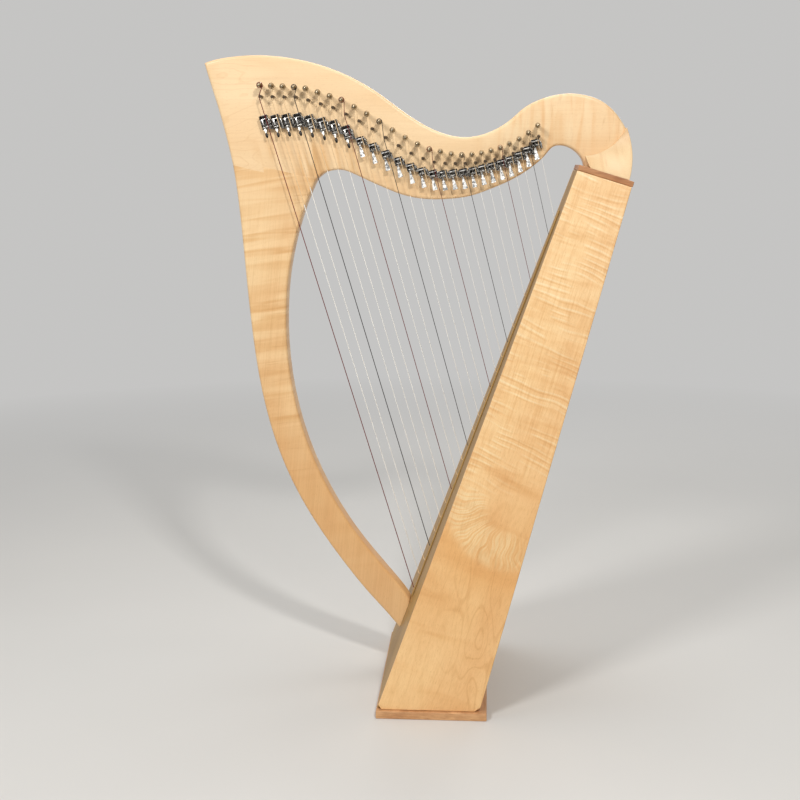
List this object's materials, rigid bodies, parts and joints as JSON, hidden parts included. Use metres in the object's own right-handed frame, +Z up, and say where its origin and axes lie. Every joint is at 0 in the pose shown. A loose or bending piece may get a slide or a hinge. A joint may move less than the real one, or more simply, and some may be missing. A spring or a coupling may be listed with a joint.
{
  "type": "lever harp",
  "caption": "Lap harp with a curved pillar, a wavy neck and a tapered soundbox; each slanting string has a flip-up lever and a turning tuning pin.",
  "frame": {"origin": "centre of the base plate's underside", "axes": "+X towards the soundbox's back, -X towards the pillar, -Y towards the side with the levers, +Z up"},
  "size_m": [0.5888, 0.296, 0.9001],
  "materials": {
    "maple": "satin varnish on curly maple",
    "cherry": "satin varnish on reddish wood",
    "chrome": "polished plate",
    "nylon": "clear and dyed nylon"
  },
  "bodies": {
    "harp_frame": {"base_plate": "cherry", "cap": "cherry", "soundbox_case": "maple", "soundboard": "maple", "pillar": "maple", "neck": "maple", "shoulder_block": "maple", "strings": "nylon"},
    "lever_01": {"lever_01": "chrome"},
    "lever_02": {"lever_02": "chrome"},
    "lever_03": {"lever_03": "chrome"},
    "lever_04": {"lever_04": "chrome"},
    "lever_05": {"lever_05": "chrome"},
    "lever_06": {"lever_06": "chrome"},
    "lever_07": {"lever_07": "chrome"},
    "lever_08": {"lever_08": "chrome"},
    "lever_09": {"lever_09": "chrome"},
    "lever_10": {"lever_10": "chrome"},
    "lever_11": {"lever_11": "chrome"},
    "lever_12": {"lever_12": "chrome"},
    "lever_13": {"lever_13": "chrome"},
    "lever_14": {"lever_14": "chrome"},
    "lever_15": {"lever_15": "chrome"},
    "lever_16": {"lever_16": "chrome"},
    "lever_17": {"lever_17": "chrome"},
    "lever_18": {"lever_18": "chrome"},
    "lever_19": {"lever_19": "chrome"},
    "lever_20": {"lever_20": "chrome"},
    "lever_21": {"lever_21": "chrome"},
    "lever_22": {"lever_22": "chrome"},
    "lever_23": {"lever_23": "chrome"},
    "lever_24": {"lever_24": "chrome"},
    "lever_25": {"lever_25": "chrome"},
    "lever_26": {"lever_26": "chrome"},
    "tuning_pin_01": {"tuning_pin_01": "chrome"},
    "tuning_pin_02": {"tuning_pin_02": "chrome"},
    "tuning_pin_03": {"tuning_pin_03": "chrome"},
    "tuning_pin_04": {"tuning_pin_04": "chrome"},
    "tuning_pin_05": {"tuning_pin_05": "chrome"},
    "tuning_pin_06": {"tuning_pin_06": "chrome"},
    "tuning_pin_07": {"tuning_pin_07": "chrome"},
    "tuning_pin_08": {"tuning_pin_08": "chrome"},
    "tuning_pin_09": {"tuning_pin_09": "chrome"},
    "tuning_pin_10": {"tuning_pin_10": "chrome"},
    "tuning_pin_11": {"tuning_pin_11": "chrome"},
    "tuning_pin_12": {"tuning_pin_12": "chrome"},
    "tuning_pin_13": {"tuning_pin_13": "chrome"},
    "tuning_pin_14": {"tuning_pin_14": "chrome"},
    "tuning_pin_15": {"tuning_pin_15": "chrome"},
    "tuning_pin_16": {"tuning_pin_16": "chrome"},
    "tuning_pin_17": {"tuning_pin_17": "chrome"},
    "tuning_pin_18": {"tuning_pin_18": "chrome"},
    "tuning_pin_19": {"tuning_pin_19": "chrome"},
    "tuning_pin_20": {"tuning_pin_20": "chrome"},
    "tuning_pin_21": {"tuning_pin_21": "chrome"},
    "tuning_pin_22": {"tuning_pin_22": "chrome"},
    "tuning_pin_23": {"tuning_pin_23": "chrome"},
    "tuning_pin_24": {"tuning_pin_24": "chrome"},
    "tuning_pin_25": {"tuning_pin_25": "chrome"},
    "tuning_pin_26": {"tuning_pin_26": "chrome"}
  },
  "joints": [
    {"name": "lever_flip_01", "type": "hinge", "parent": "harp_frame", "child": "lever_01", "pos_m": [-0.23229, 0.005, 0.80359], "axis": [-0.9576, 0, -0.2882], "range_deg": [0, 105]},
    {"name": "lever_flip_02", "type": "hinge", "parent": "harp_frame", "child": "lever_02", "pos_m": [-0.2164, 0.005, 0.80444], "axis": [-0.9583, 0, -0.2857], "range_deg": [0, 105]},
    {"name": "lever_flip_03", "type": "hinge", "parent": "harp_frame", "child": "lever_03", "pos_m": [-0.20064, 0.005, 0.80529], "axis": [-0.9591, 0, -0.2832], "range_deg": [0, 105]},
    {"name": "lever_flip_04", "type": "hinge", "parent": "harp_frame", "child": "lever_04", "pos_m": [-0.18499, 0.005, 0.80615], "axis": [-0.9598, 0, -0.2807], "range_deg": [0, 105]},
    {"name": "lever_flip_05", "type": "hinge", "parent": "harp_frame", "child": "lever_05", "pos_m": [-0.16848, 0.005, 0.80359], "axis": [-0.9605, 0, -0.2782], "range_deg": [0, 105]},
    {"name": "lever_flip_06", "type": "hinge", "parent": "harp_frame", "child": "lever_06", "pos_m": [-0.15179, 0.005, 0.79995], "axis": [-0.9613, 0, -0.2756], "range_deg": [0, 105]},
    {"name": "lever_flip_07", "type": "hinge", "parent": "harp_frame", "child": "lever_07", "pos_m": [-0.13527, 0.005, 0.79637], "axis": [-0.962, 0, -0.2731], "range_deg": [0, 105]},
    {"name": "lever_flip_08", "type": "hinge", "parent": "harp_frame", "child": "lever_08", "pos_m": [-0.11786, 0.005, 0.78912], "axis": [-0.9627, 0, -0.2706], "range_deg": [0, 105]},
    {"name": "lever_flip_09", "type": "hinge", "parent": "harp_frame", "child": "lever_09", "pos_m": [-0.10051, 0.005, 0.7815], "axis": [-0.9634, 0, -0.2681], "range_deg": [0, 105]},
    {"name": "lever_flip_10", "type": "hinge", "parent": "harp_frame", "child": "lever_10", "pos_m": [-0.083, 0.005, 0.77269], "axis": [-0.9641, 0, -0.2656], "range_deg": [0, 105]},
    {"name": "lever_flip_11", "type": "hinge", "parent": "harp_frame", "child": "lever_11", "pos_m": [-0.06537, 0.005, 0.76284], "axis": [-0.9648, 0, -0.263], "range_deg": [0, 105]},
    {"name": "lever_flip_12", "type": "hinge", "parent": "harp_frame", "child": "lever_12", "pos_m": [-0.04809, 0.005, 0.7536], "axis": [-0.9655, 0, -0.2605], "range_deg": [0, 105]},
    {"name": "lever_flip_13", "type": "hinge", "parent": "harp_frame", "child": "lever_13", "pos_m": [-0.03116, 0.005, 0.74499], "axis": [-0.9662, 0, -0.258], "range_deg": [0, 105]},
    {"name": "lever_flip_14", "type": "hinge", "parent": "harp_frame", "child": "lever_14", "pos_m": [-0.01521, 0.005, 0.73949], "axis": [-0.9668, 0, -0.2554], "range_deg": [0, 105]},
    {"name": "lever_flip_15", "type": "hinge", "parent": "harp_frame", "child": "lever_15", "pos_m": [0.00005, 0.005, 0.73602], "axis": [-0.9675, 0, -0.2529], "range_deg": [0, 105]},
    {"name": "lever_flip_16", "type": "hinge", "parent": "harp_frame", "child": "lever_16", "pos_m": [0.01437, 0.005, 0.73562], "axis": [-0.9681, 0, -0.2504], "range_deg": [0, 105]},
    {"name": "lever_flip_17", "type": "hinge", "parent": "harp_frame", "child": "lever_17", "pos_m": [0.02821, 0.005, 0.73667], "axis": [-0.9688, 0, -0.2478], "range_deg": [0, 105]},
    {"name": "lever_flip_18", "type": "hinge", "parent": "harp_frame", "child": "lever_18", "pos_m": [0.04192, 0.005, 0.73772], "axis": [-0.9694, 0, -0.2453], "range_deg": [0, 105]},
    {"name": "lever_flip_19", "type": "hinge", "parent": "harp_frame", "child": "lever_19", "pos_m": [0.05527, 0.005, 0.73977], "axis": [-0.9701, 0, -0.2428], "range_deg": [0, 105]},
    {"name": "lever_flip_20", "type": "hinge", "parent": "harp_frame", "child": "lever_20", "pos_m": [0.06823, 0.005, 0.74297], "axis": [-0.9707, 0, -0.2402], "range_deg": [0, 105]},
    {"name": "lever_flip_21", "type": "hinge", "parent": "harp_frame", "child": "lever_21", "pos_m": [0.08114, 0.005, 0.74595], "axis": [-0.9713, 0, -0.2377], "range_deg": [0, 105]},
    {"name": "lever_flip_22", "type": "hinge", "parent": "harp_frame", "child": "lever_22", "pos_m": [0.09372, 0.005, 0.74986], "axis": [-0.972, 0, -0.2351], "range_deg": [0, 105]},
    {"name": "lever_flip_23", "type": "hinge", "parent": "harp_frame", "child": "lever_23", "pos_m": [0.10609, 0.005, 0.75424], "axis": [-0.9726, 0, -0.2326], "range_deg": [0, 105]},
    {"name": "lever_flip_24", "type": "hinge", "parent": "harp_frame", "child": "lever_24", "pos_m": [0.11799, 0.005, 0.76021], "axis": [-0.9732, 0, -0.23], "range_deg": [0, 105]},
    {"name": "lever_flip_25", "type": "hinge", "parent": "harp_frame", "child": "lever_25", "pos_m": [0.12956, 0.005, 0.76723], "axis": [-0.9738, 0, -0.2275], "range_deg": [0, 105]},
    {"name": "lever_flip_26", "type": "hinge", "parent": "harp_frame", "child": "lever_26", "pos_m": [0.14046, 0.005, 0.77679], "axis": [-0.9744, 0, -0.225], "range_deg": [0, 105]},
    {"name": "pin_turn_01", "type": "hinge", "parent": "harp_frame", "child": "tuning_pin_01", "pos_m": [-0.24271, 0, 0.85901], "axis": [0, 1, 0], "continuous": true},
    {"name": "pin_turn_02", "type": "hinge", "parent": "harp_frame", "child": "tuning_pin_02", "pos_m": [-0.22672, 0, 0.85796], "axis": [0, 1, 0], "continuous": true},
    {"name": "pin_turn_03", "type": "hinge", "parent": "harp_frame", "child": "tuning_pin_03", "pos_m": [-0.21087, 0, 0.85691], "axis": [0, 1, 0], "continuous": true},
    {"name": "pin_turn_04", "type": "hinge", "parent": "harp_frame", "child": "tuning_pin_04", "pos_m": [-0.19515, 0, 0.85587], "axis": [0, 1, 0], "continuous": true},
    {"name": "pin_turn_05", "type": "hinge", "parent": "harp_frame", "child": "tuning_pin_05", "pos_m": [-0.17935, 0, 0.85409], "axis": [0, 1, 0], "continuous": true},
    {"name": "pin_turn_06", "type": "hinge", "parent": "harp_frame", "child": "tuning_pin_06", "pos_m": [-0.16269, 0, 0.84884], "axis": [0, 1, 0], "continuous": true},
    {"name": "pin_turn_07", "type": "hinge", "parent": "harp_frame", "child": "tuning_pin_07", "pos_m": [-0.14619, 0, 0.84364], "axis": [0, 1, 0], "continuous": true},
    {"name": "pin_turn_08", "type": "hinge", "parent": "harp_frame", "child": "tuning_pin_08", "pos_m": [-0.12986, 0, 0.83847], "axis": [0, 1, 0], "continuous": true},
    {"name": "pin_turn_09", "type": "hinge", "parent": "harp_frame", "child": "tuning_pin_09", "pos_m": [-0.11248, 0, 0.82899], "axis": [0, 1, 0], "continuous": true},
    {"name": "pin_turn_10", "type": "hinge", "parent": "harp_frame", "child": "tuning_pin_10", "pos_m": [-0.0953, 0, 0.81963], "axis": [0, 1, 0], "continuous": true},
    {"name": "pin_turn_11", "type": "hinge", "parent": "harp_frame", "child": "tuning_pin_11", "pos_m": [-0.07802, 0, 0.80924], "axis": [0, 1, 0], "continuous": true},
    {"name": "pin_turn_12", "type": "hinge", "parent": "harp_frame", "child": "tuning_pin_12", "pos_m": [-0.05997, 0, 0.79761], "axis": [0, 1, 0], "continuous": true},
    {"name": "pin_turn_13", "type": "hinge", "parent": "harp_frame", "child": "tuning_pin_13", "pos_m": [-0.04248, 0, 0.78741], "axis": [0, 1, 0], "continuous": true},
    {"name": "pin_turn_14", "type": "hinge", "parent": "harp_frame", "child": "tuning_pin_14", "pos_m": [-0.02556, 0, 0.77866], "axis": [0, 1, 0], "continuous": true},
    {"name": "pin_turn_15", "type": "hinge", "parent": "harp_frame", "child": "tuning_pin_15", "pos_m": [-0.00924, 0, 0.77154], "axis": [0, 1, 0], "continuous": true},
    {"name": "pin_turn_16", "type": "hinge", "parent": "harp_frame", "child": "tuning_pin_16", "pos_m": [0.00592, 0, 0.76831], "axis": [0, 1, 0], "continuous": true},
    {"name": "pin_turn_17", "type": "hinge", "parent": "harp_frame", "child": "tuning_pin_17", "pos_m": [0.02093, 0, 0.76511], "axis": [0, 1, 0], "continuous": true},
    {"name": "pin_turn_18", "type": "hinge", "parent": "harp_frame", "child": "tuning_pin_18", "pos_m": [0.03538, 0, 0.76357], "axis": [0, 1, 0], "continuous": true},
    {"name": "pin_turn_19", "type": "hinge", "parent": "harp_frame", "child": "tuning_pin_19", "pos_m": [0.04912, 0, 0.76435], "axis": [0, 1, 0], "continuous": true},
    {"name": "pin_turn_20", "type": "hinge", "parent": "harp_frame", "child": "tuning_pin_20", "pos_m": [0.06244, 0, 0.76637], "axis": [0, 1, 0], "continuous": true},
    {"name": "pin_turn_21", "type": "hinge", "parent": "harp_frame", "child": "tuning_pin_21", "pos_m": [0.07536, 0, 0.76958], "axis": [0, 1, 0], "continuous": true},
    {"name": "pin_turn_22", "type": "hinge", "parent": "harp_frame", "child": "tuning_pin_22", "pos_m": [0.08806, 0, 0.77328], "axis": [0, 1, 0], "continuous": true},
    {"name": "pin_turn_23", "type": "hinge", "parent": "harp_frame", "child": "tuning_pin_23", "pos_m": [0.1003, 0, 0.77848], "axis": [0, 1, 0], "continuous": true},
    {"name": "pin_turn_24", "type": "hinge", "parent": "harp_frame", "child": "tuning_pin_24", "pos_m": [0.11348, 0, 0.78497], "axis": [0, 1, 0], "continuous": true},
    {"name": "pin_turn_25", "type": "hinge", "parent": "harp_frame", "child": "tuning_pin_25", "pos_m": [0.12625, 0, 0.79284], "axis": [0, 1, 0], "continuous": true},
    {"name": "pin_turn_26", "type": "hinge", "parent": "harp_frame", "child": "tuning_pin_26", "pos_m": [0.1385, 0, 0.80262], "axis": [0, 1, 0], "continuous": true}
  ]
}
